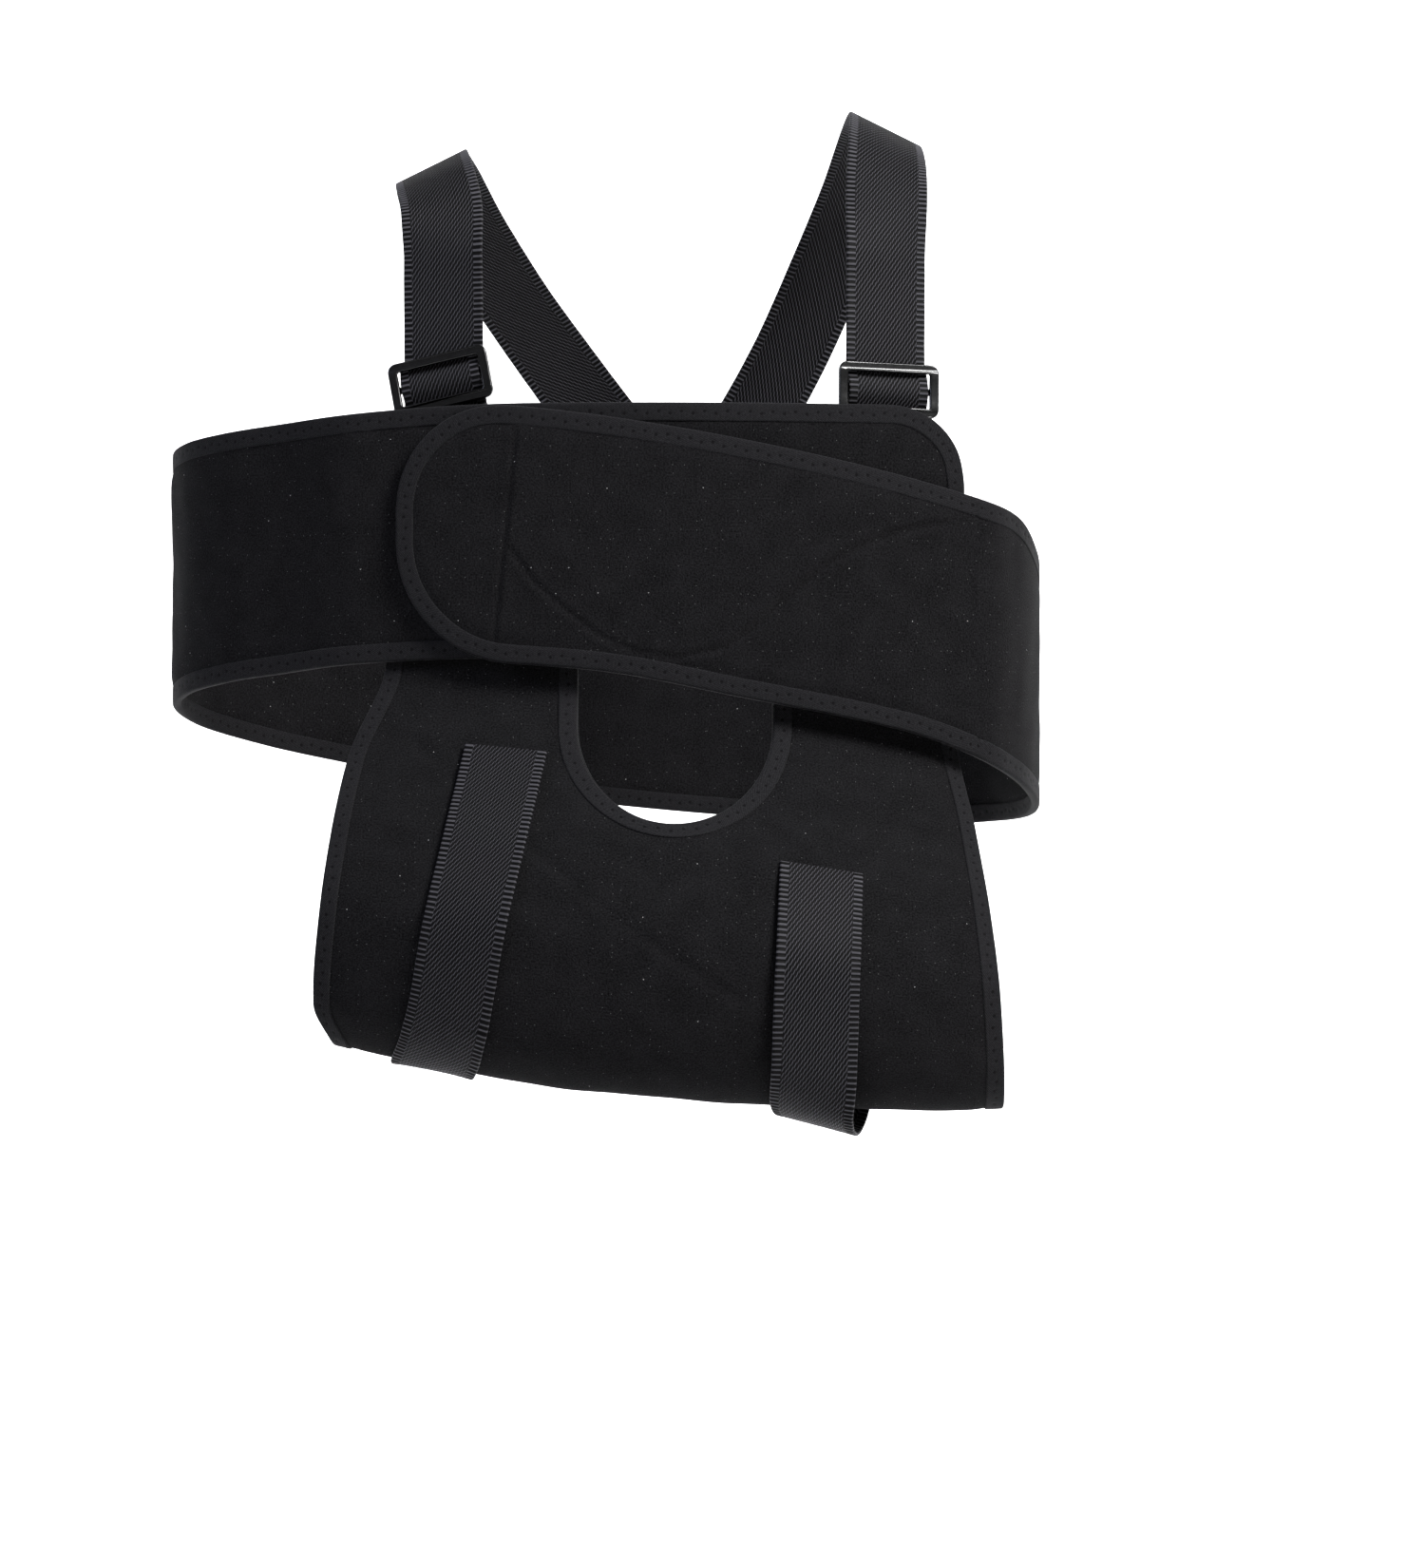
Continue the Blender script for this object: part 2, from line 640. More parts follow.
def tape_mesh(node, edge, inward, out, half, step=0.9):
    """Binding folded over a skin's edge, dented where its zigzag stitches pull it in."""
    inner = half + 0.03     # clear of the skin
    outer = inner + TAPE_THICK
    depths = np.linspace(TAPE_WIDTH - 0.3, 0.9, 11)
    bend = np.radians(np.linspace(90, -90, 7))
    nose = np.column_stack([0.3 - (TAPE_THICK + 0.35) * np.cos(bend), outer * np.sin(bend)])
    front = np.column_stack([depths, np.full(depths.size, outer)])
    lip = np.array([(TAPE_WIDTH, inner), (TAPE_WIDTH, outer - 0.25)])
    pocket = np.array([(0.1, -inner), (0.1, inner)])
    section = np.vstack([lip, front, nose, front[::-1] * [1, -1], lip[::-1] * [1, -1], pocket])
    rows, stops = trace(np.column_stack([edge, inward, out]), step)
    path, side, face = rows[:, :3], unit(rows[:, 3:6]), unit(rows[:, 6:9])
    across = section[None, :, 0]
    along = stops[:, None]
    cover = (np.abs(section[:, 1]) > inner + 0.1) & (section[:, 0] > 0.3)
    turn = np.round(along / TAPE_PITCH)
    row = STITCH_ROW + STITCH_SWING * np.where(turn % 2 == 0, 1, -1)
    dent = np.exp(-((along - turn * TAPE_PITCH) / 0.85) ** 2 - ((across - row) / 0.8) ** 2)
    puff = 0.12 * np.sin(math.pi * np.clip(across / TAPE_WIDTH, 0, 1))
    lift = np.where(cover[None], puff - 0.42 * dent + 0.05 * noise(path, 5, 8)[:, None], 0)
    return swept_mesh(node, path, side, face, section, stops, BINDING, lift)


def belt_tape(node, stations, step):
    """Along the lower edge to the rounded end, over it, and back along the upper edge."""
    rows, out, stops = belt_rows(stations, 4.0)
    low = rows[:, [0, 1, 4]]
    high = rows[:, [0, 1, 3]]
    rise = high[:1] - low[:1]
    middle = low[:1] + rise * np.array([[0.25], [0.5], [0.75]])
    edge = np.vstack([low[::-1], middle, high])
    face = np.vstack([out[::-1], np.repeat(out[:1], 3, axis=0), out])
    inward = unit(np.cross(headings(edge), face))
    inward *= np.sign(inward[0, 2])
    inward[[0, -1]] = UP, -UP
    return tape_mesh(node, edge, inward, face, SEWN_THICK / 2, step)


def stitch_line(node, points, normals, length=2.6, gap=0.7, radius=0.32, count=6, sides=8):
    """A row of stitches: short rounded threads of count rings each, that lie on the cloth."""
    rows, stops = trace(np.column_stack([points, normals]), length + gap)
    rings = np.linspace(0, 1, count)
    swell = np.sqrt(np.clip(1 - (2 * rings - 1) ** 4, 0.02, 1))
    angles = np.linspace(0, 2 * math.pi, sides, endpoint=False)
    points_out = []
    faces = []
    uvs = []
    for start, end in zip(rows[:-1], rows[1:]):
        along = end[:3] - start[:3]
        ahead = unit(along) * length
        out = unit(start[3:])
        side = unit(np.cross(ahead, out))
        base = len(points_out)
        for ring, fat in zip(rings, swell):
            centre = start[:3] + ahead * ring + out * (0.1 - 0.25 * (2 * ring - 1) ** 4)
            for angle in angles:
                points_out.append(centre + (side * math.cos(angle) + out * math.sin(angle)) * radius * fat)
                uvs.append((angle, length * ring))
        for low in range(base, base + sides * (count - 1), sides):
            for k in range(sides):
                n = (k + 1) % sides
                faces.append([low + k, low + n, low + sides + n, low + sides + k])
        faces.append([base + k for k in reversed(range(sides))])
        faces.append([base + sides * (count - 1) + k for k in range(sides)])
    return mesh_object(node, points_out, faces, uvs, THREAD)


def on_layer(x, z, layer):
    return np.column_stack([x, chest_y(x) - layer, z])


def layer_normals(x):
    side = unit(chest_across(x))
    return np.column_stack([side[:, 1], -side[:, 0], side[:, 2]])


def hook_patch(node, body, x_from, x_to, top, bottom, layer):
    """Sheet of hooks on the chest's curve, behind the layer."""
    x = np.linspace(x_from, x_to, 50)[:, None]
    part = np.linspace(0, 1, 120)[None, :]
    z = mix(knots(bottom, x[:, 0])[:, None], knots(top, x[:, 0])[:, None], part)
    x = np.broadcast_to(x, z.shape)
    normal = layer_normals(x.ravel()).reshape(*z.shape, 3)
    middle = on_layer(x.ravel(), z.ravel(), layer - HOOKS_BEHIND).reshape(*z.shape, 3)
    stubs = 0.5 + 0.12 * np.sin(x * 4.4) * np.sin(z * 5.2)
    cloth = np.stack([x, z], axis=-1)
    return placed(sheet_mesh(node, middle, normal, stubs * 0.5, cloth, HOOKS), body, "hook_tape", node)


def shifted(edge, rise):
    return [(x, z + rise) for x, z in edge]


def seam_stitch(node, body, ends, layer):
    """Stitching between two (x, z) ends, on the front of the belt's layer."""
    x, z = np.linspace(*ends, 12).T
    row = stitch_line(node, on_layer(x, z, layer + BELT_THICK / 2), layer_normals(x))
    placed(row, body, "thread", node)


def make_belt():
    wrap = wrap_stations()
    flap = flap_stations()
    wrap_skin = belt_sheet("belt_wrap", wrap, 2.0, 58, wrap_relief)
    placed(wrap_skin, "sling", "neoprene", "belt_wrap")
    placed(belt_tape("belt_wrap_binding", wrap, 1.2), "sling", "binding", "belt_wrap_binding")
    flap_skin = belt_sheet("belt_flap", flap, 1.1, 110, flap_relief)
    flap_tape = belt_tape("belt_flap_binding", flap, 0.9)
    flap_pieces = [(flap_skin, "neoprene", "belt_flap"), (flap_tape, "binding", "belt_flap_binding")]
    for piece, slot, node in flap_pieces:
        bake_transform(piece)
        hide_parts(node)
    top, bottom = shifted(FLAP_TOP, -20), shifted(FLAP_BOTTOM, 20)
    hook_patch("flap_hook_patch", "flap", -126, -92, top, bottom, FLAP_LAYER)
    top, bottom = shifted(WRAP_TOP, -18), shifted(WRAP_BOTTOM, 18)
    hook_patch("under_end_patch", "sling", 79, 105, top, bottom, WRAP_LAYER)
    seam_stitch("flap_seam_stitch", "flap", FLAP_SEAM, FLAP_LAYER - 1.0)
    seam_stitch("under_end_seam_stitch", "sling", UNDER_SEAM, WRAP_LAYER - 0.2)


# ---- Pouch ----

POUCH_LEFT = [
    (POUCH_FOLD_Z, -156), (-226, -158), (-212, -165), (-196, -171.5), (-150, -167.5), (-117, -163.5),
    (-87, -158.5), (-44, -142.5), (HORN_TOP, -136),
]
POUCH_RIGHT = [(POUCH_FOLD_Z, FOLD_RIGHT_X), (-187, 134), (-121, 126.5), (-87, 120), (HORN_TOP, 105)]

# Left by the way the pouch was folded in its packet, one crease standing out and one pressed in: x, z
POUCH_RIDGE = [(124, -86), (80, -108), (39, -131), (-18, -157)]
POUCH_CREASE = [(-129, -79), (-90, -113), (-40, -155), (20, -194)]


def pouch_profile(x):
    """y and z knots, a row each, down the front, round the fold and up the back at every x.

    out is the y furthest in front of the forearm, belly the y behind it, and arm the forearm's z.
    """
    front = chest_y(x) - FRONT_PANEL
    back = chest_y(x) - BACK_PANEL
    out = parabola(x, *POUCH_OUT)
    belly = parabola(x, *POUCH_BELLY)
    arm = ARM_LEFT_Z - ARM_SLOPE * (x - ARM_LEFT_X)
    fold = POUCH_FOLD_Z + FOLD_RISE * (np.maximum(FOLD_RIGHT_X - x, 0) / FOLD_WIDTH) ** FOLD_POWER
    hem = knots(FLAP_BOTTOM, x)
    flat = np.zeros_like(x)
    ys = [
        front, front, front - 0.5, mix(front, out, 0.30), mix(front, out, 0.78), out, mix(out, belly, 0.13),
        mix(out, belly, 0.48), mix(out, belly, 0.88), belly, mix(belly, back, 0.5), back, back, back,
    ]
    zs = [
        flat + HORN_TOP, mix(HORN_TOP, hem, 0.5), hem, mix(hem, arm, 0.33), mix(hem, arm, 0.66), arm + 4,
        mix(arm, fold, 0.66), fold, mix(arm, fold, 0.6), arm + 20, flat - 95, flat - 56, flat + 8,
        flat + HORN_TOP,
    ]
    return np.array(ys), np.array(zs)


def pouch_at(x, t):
    """Middle of the pouch's skin at x; t runs from 0 at the front's top to 1 at the back's top."""
    x = np.asarray(x, float)
    shape = np.broadcast(x, t).shape
    x = np.broadcast_to(x, shape).ravel()
    u = np.broadcast_to(t, shape).ravel() * PROFILE_SPANS
    ys, zs = pouch_profile(x)
    index = np.arange(PROFILE_SPANS + 1)
    return np.stack([x, smooth(index, ys, u), smooth(index, zs, u)], axis=-1).reshape(*shape, 3)


def pouch_skin(a, t):
    """As pouch_at, with a from 0 at the panel's left edge in the front view to 1 at its right edge."""
    x = np.zeros(np.broadcast(a, t).shape)
    for step in range(5):
        z = pouch_at(x, t)[..., 2].ravel()
        left = knots(POUCH_LEFT, z).reshape(x.shape)
        right = knots(POUCH_RIGHT, z).reshape(x.shape)
        x = mix(left, right, a)
    return pouch_at(x, t)


def pouch_normal(x, t):
    """Square to the skin and out of the pouch."""
    across = pouch_at(x + 1, t) - pouch_at(x - 1, t)
    along = pouch_at(x, np.minimum(t + T_STEP, 1)) - pouch_at(x, np.maximum(t - T_STEP, 0))
    return -unit(np.cross(across, along))


def pouch_t(x, z, front):
    """The t of height z at x, on the front or on the back."""
    x = np.asarray(x, float)
    high = np.full(x.shape, 0.0 if front else 1.0)
    low = np.full(x.shape, FRONT_T if front else BACK_T)
    for step in range(30):
        middle = (high + low) / 2
        above = pouch_at(x, middle)[..., 2] > z
        high = np.where(above, middle, high)
        low = np.where(above, low, middle)
    return high


def cut_outline():
    """U-shaped cut-out in the front view: down its left side, round and up."""
    heights = np.linspace(HORN_TOP - 2, CUT_Z, 12, endpoint=False)
    angles = np.radians(np.linspace(180, 360, 31))
    left = np.column_stack([np.full_like(heights, CUT_X - CUT_R), heights])
    low = np.column_stack([CUT_X + CUT_R * np.cos(angles), CUT_Z + CUT_R * np.sin(angles)])
    right = np.column_stack([np.full_like(heights, CUT_X + CUT_R), heights[::-1]])
    return np.vstack([left, low, right])


def pouch_panel():
    """The pouch's one skin, thinner under its bindings, with the cut-out's cells left out."""
    a = np.linspace(0, 1, 126)[None, :]
    t = np.linspace(0, 1, 250)[:, None]
    middle = pouch_skin(a, t)
    normal = pouch_normal(middle[..., 0], np.broadcast_to(t, middle.shape[:2]))
    flat = middle[..., [0, 2]]
    hole = distance_to(flat, cut_outline())
    width = middle[:, -1:, 0] - middle[:, :1, 0]
    depth = np.minimum(np.minimum(a, 1 - a) * width, hole)
    half = pressed_half(depth, POUCH_THICK)
    front = t < FOLD_T - 0.04
    creases = groove(distance_to(flat, np.array(POUCH_CREASE, float)), 1.5, 2.2)
    creases += ridge(distance_to(flat, np.array(POUCH_RIDGE, float)), 2.4, 8.0)
    relief = np.where(front, creases, 0) + 0.7 * noise(middle, 75, 11) + 0.2 * noise(middle, 26, 12)
    middle = middle + normal * (relief * ease((depth - RELIEF_FROM) / 12))[..., None]
    centre = (flat[:-1, :-1] + flat[1:, 1:]) / 2
    reach = CUT_R + 2       # the skin stops inside its binding
    in_slot = (np.abs(centre[..., 0] - CUT_X) < reach) & (centre[..., 1] > CUT_Z)
    in_round = np.hypot(centre[..., 0] - CUT_X, centre[..., 1] - CUT_Z) < reach
    near_middle = 60        # the column that the cloth's length is measured down
    lengths = lengths_along(middle[:, near_middle])
    cloth = np.stack([middle[..., 0], np.broadcast_to(lengths[:, None], depth.shape)], axis=-1)
    return sheet_mesh("pouch_panel", middle, normal, half, cloth, NEOPRENE, ~(in_slot | in_round))


def skin_tape(node, edge, normal, inward_x):
    """Binding on the pouch. inward_x is 1 or -1: the way along X to the skin from the path's first point."""
    inward = unit(np.cross(headings(edge), normal))
    inward *= np.sign(inward[0, 0]) * inward_x
    return placed(tape_mesh(node, edge, inward, normal, SEWN_THICK / 2), "sling", "binding", node)


def make_pouch():
    panel = placed(pouch_panel(), "sling", "neoprene", "pouch_panel")
    t = np.linspace(0, 1, 140)
    for node, a, inward_x in (("pouch_left_binding", 0.0, 1), ("pouch_right_binding", 1.0, -1)):
        edge = pouch_skin(np.full(t.shape, a), t)
        skin_tape(node, edge, pouch_normal(edge[:, 0], t), inward_x)
    x, z = cut_outline().T
    for node, front in (("front_cutout_binding", True), ("back_cutout_binding", False)):
        t = pouch_t(x, z, front)
        skin_tape(node, pouch_at(x, t), pouch_normal(x, t), -1)


# ---- Straps ----

# Of each strap:
# - top_x, behind_x, front_x, tab_x: x behind the pouch's top, on both sides of its fold and at the tab's tip
# - tab_z, tab_t: the height of the tab's tip, and where the tab starts
# - slack, slant: how far it hangs clear of the fold, and how much its width slants there
# - foot, head: the ends of the straight run on the chest, which the slide adjuster moves along
# - over, back: its middle over the shoulder, and from there to the belt
# - belt, layer: x and z of its middle down the back of the belt, and its distance from the back
# - fall: how much its outer edge falls over the shoulder
# - adjuster_z, roll: the height of the adjuster, and the degrees it is rolled by
STRAPS = {
    "left": {
        "top_x": -116.5, "behind_x": -119.0, "front_x": -119.0, "tab_x": -86.0,
        "tab_z": -84.0, "tab_t": 0.455, "slack": 0.0, "slant": 0.0,
        "foot": (-116.5, -97.0, STRAP_FOOT_Z), "head": (-117.7, -90.0, 150),
        "over": [(-119, -81, 170), (-123, -63, 185), (-126, -38, 193.5), (-127, -10, 196), (-124, 18, 193),
                 (-114, 50, 176)],
        "back": [(-94, 78, 145), (-64, 102, 104), (-32, 114.5, 62)],
        "belt": [(-4, 24), (16, -15), (32, -52)], "layer": 6.6,
        "fall": 0.5, "adjuster_z": 87.0, "roll": 10.0,
    },
    "right": {
        "top_x": 86.5, "behind_x": 60.0, "front_x": 49.5, "tab_x": 54.7,
        "tab_z": -138.0, "tab_t": 0.475, "slack": 8.0, "slant": 0.36,
        "foot": (86.5, -94.5, STRAP_FOOT_Z), "head": (87.3, -87.3, 150),
        "over": [(88, -78, 176), (88.8, -62, 196), (89.2, -38, 210), (89, -10, 215), (87, 18, 212),
                 (80, 50, 194)],
        "back": [(66, 77, 162), (46, 97, 118), (20, 110.5, 72)],
        "belt": [(-8, 27), (-30, -14), (-48, -50)], "layer": 4.1,
        "fall": -0.5, "adjuster_z": 83.0, "roll": 0.0,
    },
}


HOOKS_THICK = 1.0
STITCH_INSET = 4.0      # of the box of stitching from the webbing's edges


def web_section(spacing, width=WEB_WIDTH, thick=WEB_THICK):
    """Ring of (across, out) points round webbing with rounded selvages."""
    r = thick / 2
    run = np.linspace(-(width / 2 - r), width / 2 - r, int(width / spacing))
    bend = np.radians([60, 30, 0, -30, -60])
    right = np.column_stack([width / 2 - r + r * np.cos(bend), r * np.sin(bend)])
    front = np.column_stack([run, np.full(run.size, r)])
    return np.vstack([front, right, (front * [1, -1])[::-1], (right * [-1, 1])[::-1]])


def web_axes(rows):
    """Points along a run of (point, side) rows, and the directions of its width and of its face."""
    path = rows[:, :3]
    ahead = headings(path)
    side = unit(rows[:, 3:6] - ahead * np.sum(rows[:, 3:6] * ahead, axis=1, keepdims=True))
    return path, side, unit(np.cross(side, ahead))


def web_mesh(node, rows, stops, section, ribbed):
    """Webbing along rows of (point, side); ribbed says which rows carry their ribs as geometry."""
    path, side, out = web_axes(rows)
    relief = web_relief(section[None, :, 0], stops[:, None]) - 0.5
    flat = np.abs(section[:, 1]) > 0.95 * np.abs(section[:, 1]).max()
    lift = 0.26 * relief * flat[None] * ribbed[:, None]
    lift += 0.04 * noise(path, 20, 21)[:, None]
    return swept_mesh(node, path, side, out, section, stops, WEBBING, lift)


def strip_mesh(node, rows, section, material):
    """Plain strip along rows of (point, side)."""
    path, side, out = web_axes(rows)
    plain = np.zeros((len(path), len(section)))
    return swept_mesh(node, path, side, out, section, lengths_along(path), material, plain)


def slack_share(t):
    """1 under the pouch's fold, falling off to 0 on both sides of it."""
    return np.exp(-((t - SLACK_T) / SLACK_SPREAD) ** 2)


def web_at(plan, t):
    """Middle of the webbing over the pouch's outer side, and the pouch's normal there."""
    z = pouch_at(np.full(t.shape, plan["top_x"]), t)[:, 2]
    drop = (STRAP_FOOT_Z - z) / (STRAP_FOOT_Z - POUCH_FOLD_Z)
    rise = (FOLD_T - t) / (FOLD_T - tab_tip_t(plan))
    behind = mix(plan["top_x"], plan["behind_x"], np.clip(drop, 0, 1))
    before = mix(plan["front_x"], plan["tab_x"], np.clip(rise, 0, 1))
    x = mix(before, behind, ease((t - TURN_FROM_T) / (TURN_TO_T - TURN_FROM_T)))
    depth = knots([(TAB_TOP_T, TAB_OVER_POUCH), (FOLD_T, FOLD_OVER_POUCH), (BACK_T, WEB_OVER_POUCH)], t)
    normal = pouch_normal(x, t)
    return pouch_at(x, t) + normal * (depth + plan["slack"] * slack_share(t))[:, None], normal


def lower_run(plan, t):
    """Webbing middles along the pouch, and the directions of its width there, to the right."""
    path, normal = web_at(plan, t)
    ahead = web_at(plan, t - T_STEP)[0] - web_at(plan, t + T_STEP)[0]
    side = unit(np.cross(normal, ahead))
    side *= np.sign(side[:, :1])
    return np.column_stack([path, side - np.outer(plan["slant"] * slack_share(t), UP)])


def belt_run(plan):
    """Webbing middles down the back of the belt, and the directions of its width there."""
    x, z = np.array(plan["belt"], float).T
    middles = np.column_stack([x, BACK_Y - BACK_BOW * x * x + plan["layer"], z])
    return np.column_stack([middles, np.ones_like(x), -2 * BACK_BOW * x, np.zeros_like(x)])


def chest_run(plan):
    """As belt_run, down the straight run that the slide adjuster moves along."""
    middles = mix(np.array(plan["head"]), np.array(plan["foot"]), np.linspace(0, 1, 7)[:, None])
    return np.column_stack([middles, chest_across(middles[:, 0])])


def shoulder_rows(plan):
    """Webbing middles and width directions, from the belt's back over the shoulder to the tab's foot."""
    back = [(*point, 1, 0, 0) for point in plan["back"][::-1]]
    turns = len(plan["over"])
    falls = [plan["fall"] * math.sin(math.pi * (i + 0.5) / turns) for i in range(turns)]
    over = [(*point, 1, 0, fall) for point, fall in zip(plan["over"][::-1], falls)]
    lower = lower_run(plan, np.linspace(STRAP_TOP_T, plan["tab_t"], 60))
    return np.vstack([belt_run(plan)[::-1], back, over, chest_run(plan), lower])


def tab_tip_t(plan):
    return pouch_t(np.array([plan["tab_x"]]), plan["tab_z"], True)[0]


def shoulder_strap(side, plan):
    """Strap up to the tab's foot. It has its ribs as geometry where it shows from the front."""
    rows, stops = trace(shoulder_rows(plan), 0.6)
    under = (rows[:, 2] < -160) & (stops > stops[-1] / 2)
    shown = (rows[:, 1] < 15) & (rows[:, 2] > STRAP_FOOT_Z + 2) | under
    kept = shown | (np.arange(len(rows)) % 12 == 0)
    kept[-1] = True
    stops = np.where(under, stops[-1] - stops, stops)
    node = side + "_shoulder_strap"
    strap = web_mesh(node, rows[kept], stops[kept], web_section(0.6), shown[kept].astype(float))
    placed(strap, "sling", "webbing", node)


def support_tab(side, plan):
    """Tab that the webbing ends in, which bends at its foot. Gives its rows."""
    rows, stops = trace(lower_run(plan, np.linspace(plan["tab_t"], tab_tip_t(plan), 24)), 0.5)
    node = side + "_support_tab"
    tab = web_mesh(node, rows, -stops, web_section(0.5), np.ones(len(rows)))
    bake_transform(tab)
    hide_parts(node)
    return rows


def tab_hook_patch(side, tab_rows):
    """Hooks on the pouch's side of the tab, over the last third of it."""
    patch = tab_rows[len(tab_rows) * 2 // 3:-12]
    path, width, out = web_axes(patch)
    towards_viewer = out * np.sign(-out[:, 1:2])
    rows = np.column_stack([path - towards_viewer * (WEB_THICK + HOOKS_THICK) / 2, patch[:, 3:]])
    node = side + "_tab_hook_patch"
    hooks = strip_mesh(node, rows[::2], web_section(0.8, WEB_WIDTH - 6, HOOKS_THICK), HOOKS)
    placed(hooks, side + "_tab", "hook_tape", node)


def back_stitch(side, plan):
    """Box of stitching with a cross in it, where the strap is sewn to the back of the belt."""
    run = belt_run(plan)
    end = run[-1, :3]
    ahead = unit(run[-2, :3] - end)
    across = unit(run[-1, 3:] - ahead * np.dot(run[-1, 3:], ahead))
    out = np.cross(ahead, across)
    out *= np.sign(out[1])
    reach = WEB_WIDTH / 2 - STITCH_INSET
    low = end + ahead * STITCH_INSET + out * (WEB_THICK / 2 + 0.1)
    high = low + ahead * 2 * reach
    corners = [low - across * reach, low + across * reach, high + across * reach, high - across * reach]
    path = [corners[k] for k in (0, 1, 2, 3, 0, 2, 1, 3)]
    node = side + "_back_stitch"
    placed(stitch_line(node, np.array(path), np.tile(out, (len(path), 1))), "sling", "thread", node)


# ---- Slide adjusters ----

# BACK is how far in front of the strap's middle the back of the rim or of the middle bar lies.
GLIDE_WIDTH = 48.0
GLIDE_HEIGHT = 25.0
GLIDE_DEPTH = 2.6
GLIDE_RIM = 4.4
GLIDE_BACK = 4.4
GLIDE_BEVEL = 0.7
GLIDE_CORNER = 3.4
GLIDE_CROWN = 1.2
WINDOW_CORNER = 1.6
BAR_LENGTH = WEB_WIDTH + 2.4
BAR_HEIGHT = 3.4
BAR_BACK = 3.6
BAR_DEPTH = 1.3
LOOP_THICK = 1.1
LOOP_TAIL = 24.0


def adjuster_frame(plan):
    """The strap's middle at the adjuster, and the adjuster's own three axes there."""
    foot = np.array(plan["foot"], float)
    head = np.array(plan["head"], float)
    up = unit(head - foot)
    middle = mix(foot, head, (plan["adjuster_z"] - foot[2]) / (head[2] - foot[2]))
    across = chest_across(middle[:1])[0]
    across = unit(across - up * np.dot(across, up))
    back = np.cross(up, across)
    turn = math.radians(plan["roll"])
    rolled = across * math.cos(turn) + up * math.sin(turn)
    raised = up * math.cos(turn) - across * math.sin(turn)
    return middle, np.array([rolled, back, raised])


def rounded_box(width, height, radius, spacing):
    """Outline of a rounded rectangle, with points along its sides too."""
    corner = np.array([width / 2 - radius, height / 2 - radius])
    points = []
    for quarter, signs in enumerate([(1, 1), (-1, 1), (-1, -1), (1, -1)]):
        angles = np.radians(np.linspace(0, 90, 7) + 90 * quarter)
        points.extend(corner * signs + radius * np.column_stack([np.cos(angles), np.sin(angles)]))
    filled = []
    for start, end in zip(points, np.roll(points, -1, axis=0)):
        count = max(int(np.linalg.norm(end - start) / spacing), 1)
        filled.extend(start + (end - start) * k / count for k in range(count))
    return np.array(filled)


def moulded_frame(node, place):
    """Rim of the adjuster, crowned along the inner edges of its two long bars."""
    data = bpy.data.curves.new(node, "CURVE")
    data.dimensions = "2D"
    data.fill_mode = "BOTH"
    data.bevel_depth = GLIDE_BEVEL
    data.bevel_resolution = 4
    data.extrude = GLIDE_DEPTH / 2 - GLIDE_BEVEL
    bevel = 2 * GLIDE_BEVEL
    outer = rounded_box(GLIDE_WIDTH - bevel, GLIDE_HEIGHT - bevel, GLIDE_CORNER, 1.0)
    window_height = GLIDE_HEIGHT - 2 * GLIDE_RIM
    window = rounded_box(WEB_WIDTH + 1.4 + bevel, window_height + bevel, WINDOW_CORNER, 1.0)
    for outline in (outer, window):
        spline = data.splines.new("POLY")
        spline.points.add(len(outline) - 1)
        for point, (x, y) in zip(spline.points, outline):
            point.co = (x, y, 0, 1)
        spline.use_cyclic_u = True
    source = bpy.data.objects.new(node, data)
    mesh = bpy.data.meshes.new_from_object(source)
    points = np.array([vertex.co for vertex in mesh.vertices])
    faces = [list(polygon.vertices) for polygon in mesh.polygons]
    bpy.data.objects.remove(source)
    bpy.data.meshes.remove(mesh)
    x, y, z = points.T
    height = np.abs(y)
    crown = np.minimum(ease((height - 2) / 6), (GLIDE_HEIGHT / 2 - height) / GLIDE_RIM)
    bulge = GLIDE_CROWN * crown * np.cos(math.pi * np.clip(x / GLIDE_WIDTH, -0.5, 0.5))
    local = np.column_stack([x, -(GLIDE_BACK + GLIDE_DEPTH / 2) - z - bulge, y])
    middle, axes = place
    obj = mesh_object(node, middle + local @ axes, faces, points[:, :2], PLASTIC)
    weld = obj.modifiers.new("weld", "WELD")
    weld.merge_threshold = 0.01 * MM
    obj.modifiers.new("flat faces stay flat", "WEIGHTED_NORMAL")
    return obj


def middle_bar(node, place):
    """Flat bar across the adjuster's window, which its loop is sewn round."""
    middle, axes = place
    reach = np.linspace(-BAR_LENGTH / 2, BAR_LENGTH / 2, 30)
    depth = np.full_like(reach, -BAR_BACK - BAR_DEPTH / 2)
    bar = np.column_stack([reach, depth, np.zeros_like(reach)]) @ axes + middle
    rows = np.column_stack([bar, np.tile(axes[2], (len(bar), 1))])
    return strip_mesh(node, rows, web_section(0.8, BAR_HEIGHT, BAR_DEPTH), PLASTIC)


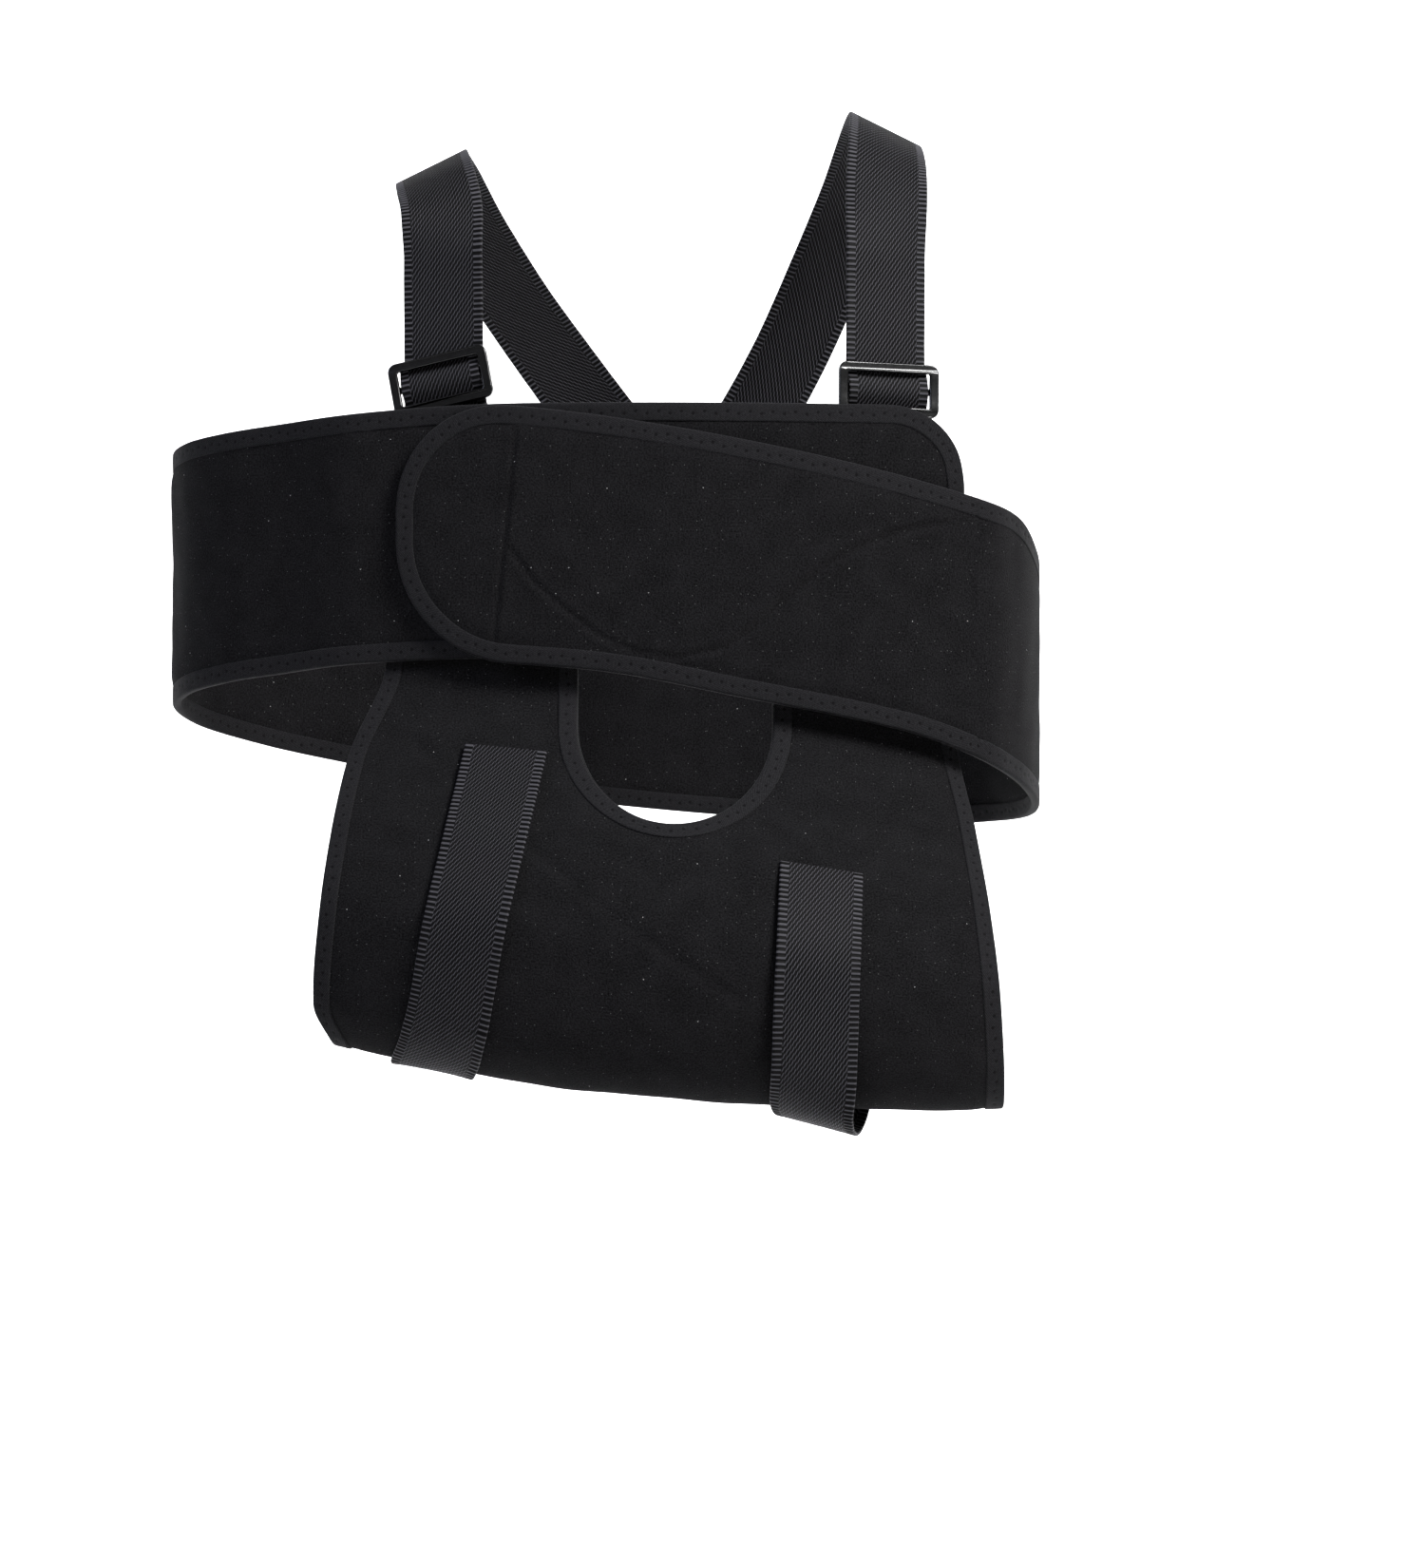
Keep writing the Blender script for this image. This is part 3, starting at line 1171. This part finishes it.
def slider_loop(node, place):
    """Webbing that goes up behind the middle bar, turns under the rim and comes down over the bar."""
    middle, axes = place
    back = BAR_BACK - 0.3 - LOOP_THICK / 2 - 0.9
    rest = back + LOOP_THICK + 0.25
    over = BAR_BACK + BAR_DEPTH + 0.3 + LOOP_THICK / 2
    lip = GLIDE_HEIGHT / 2 - 1.2
    path = np.array([
        (-LOOP_TAIL, back), (-12, back), (0, back), (lip - 1, back), (lip + 0.3, back + 0.35),
        (lip + 0.3, rest - 0.35), (lip - 1, rest), (8.4, rest), (5.4, rest + 1.4), (2.4, over),
        (-2.4, over), (-5.4, rest + 1.4), (-8.4, rest), (1 - lip, rest), (-LOOP_TAIL, rest),
    ])
    run = np.column_stack([np.zeros(len(path)), -path[:, 1], path[:, 0]]) @ axes + middle
    rows, stops = trace(np.column_stack([run, np.tile(axes[0], (len(run), 1))]), 0.5)
    return web_mesh(node, rows, stops, web_section(0.6, WEB_WIDTH, LOOP_THICK), np.full(len(rows), 0.7))


def make_slider(side, plan):
    place = adjuster_frame(plan)
    body = side + "_slider"
    node = side + "_tri_glide"
    placed(moulded_frame(node, place), body, "black_plastic", node)
    placed(middle_bar(node + "_bar", place), body, "black_plastic")
    node = side + "_slider_loop"
    placed(slider_loop(node, place), body, "webbing", node)


# ---- Room, light and camera ----

# In metres
FLOOR_Z = -1.05
WALL_Y = 1.9
SWEEP_R = 0.8
ROOM = 6.0
WHITE = (1.0, 1.0, 1.0)
PALE_BLUE = (0.75, 0.8, 1.0)


def make_backdrop():
    """Pale floor that sweeps up into a wall. It is clear from behind, so that it never hides the sling."""
    angles = np.linspace(-math.pi / 2, 0, 24)
    sweep = [(WALL_Y - SWEEP_R * (1 - math.cos(a)), FLOOR_Z + SWEEP_R * (1 + math.sin(a))) for a in angles]
    profile = [(-ROOM, FLOOR_Z), *sweep, (WALL_Y, 5.0)]
    points = [(x, y, z) for y, z in profile for x in (-ROOM, ROOM)]
    faces = [(2 * k, 2 * k + 1, 2 * k + 3, 2 * k + 2) for k in range(len(profile) - 1)]
    data = bpy.data.meshes.new("backdrop")
    data.from_pydata(points, [], faces)
    data.polygons.foreach_set("use_smooth", [True] * len(faces))
    material = bpy.data.materials.new("backdrop")
    material.use_nodes = True
    tree = material.node_tree
    paper = tree.nodes["Principled BSDF"]
    paper.inputs["Base Color"].default_value = (0.9, 0.9, 0.9, 1)
    paper.inputs["Roughness"].default_value = 1.0
    paper.inputs["Specular IOR Level"].default_value = 0.0
    clear = tree.nodes.new("ShaderNodeBsdfTransparent")
    side = tree.nodes.new("ShaderNodeNewGeometry")
    choice = tree.nodes.new("ShaderNodeMixShader")
    tree.links.new(side.outputs["Backfacing"], choice.inputs[0])
    tree.links.new(paper.outputs[0], choice.inputs[1])
    tree.links.new(clear.outputs[0], choice.inputs[2])
    tree.links.new(choice.outputs[0], tree.nodes["Material Output"].inputs["Surface"])
    data.materials.append(material)
    backdrop = bpy.data.objects.new("backdrop", data)
    bpy.context.scene.collection.objects.link(backdrop)


def make_light(name, place, aim, size, power, colour=WHITE):
    data = bpy.data.lights.new(name, "AREA")
    data.shape = "RECTANGLE"
    data.size, data.size_y = size
    data.energy = power
    data.color = colour
    light = bpy.data.objects.new(name, data)
    light.location = place
    light.rotation_euler = (Vector(aim) - Vector(place)).to_track_quat("-Z", "Y").to_euler()
    bpy.context.scene.collection.objects.link(light)


def make_room():
    make_backdrop()
    world = bpy.data.worlds.new("studio")
    world.use_nodes = True
    world.node_tree.nodes["Background"].inputs["Color"].default_value = (1, 1, 1, 1)
    world.node_tree.nodes["Background"].inputs["Strength"].default_value = 0.16
    bpy.context.scene.world = world
    sling = (0, -0.1, 0)
    make_light("key", (1.45, -1.45, 1.65), sling, (1.0, 1.0), 155)
    make_light("fill", (-2.0, -0.9, 1.0), sling, (0.9, 0.9), 25, PALE_BLUE)
    for name, side in (("wall left", -1), ("wall right", 1)):
        make_light(name, (1.5 * side, 0.5, 0.1), (0.9 * side, WALL_Y, 0), (0.8, 1.8), 60)
    camera = bpy.data.objects.new("camera", bpy.data.cameras.new("camera"))
    camera.location = (0.007, -2.2, -0.098)
    camera.rotation_euler = (math.pi / 2, 0, 0)
    camera.data.sensor_width = 36
    camera.data.lens = 104.8
    bpy.context.scene.collection.objects.link(camera)
    bpy.context.scene.camera = camera
    bpy.context.scene.view_settings.view_transform = "Standard"


make_belt()
make_pouch()
for strap_side, strap_plan in STRAPS.items():
    shoulder_strap(strap_side, strap_plan)
    tab_hook_patch(strap_side, support_tab(strap_side, strap_plan))
    back_stitch(strap_side, strap_plan)
    make_slider(strap_side, strap_plan)
make_room()
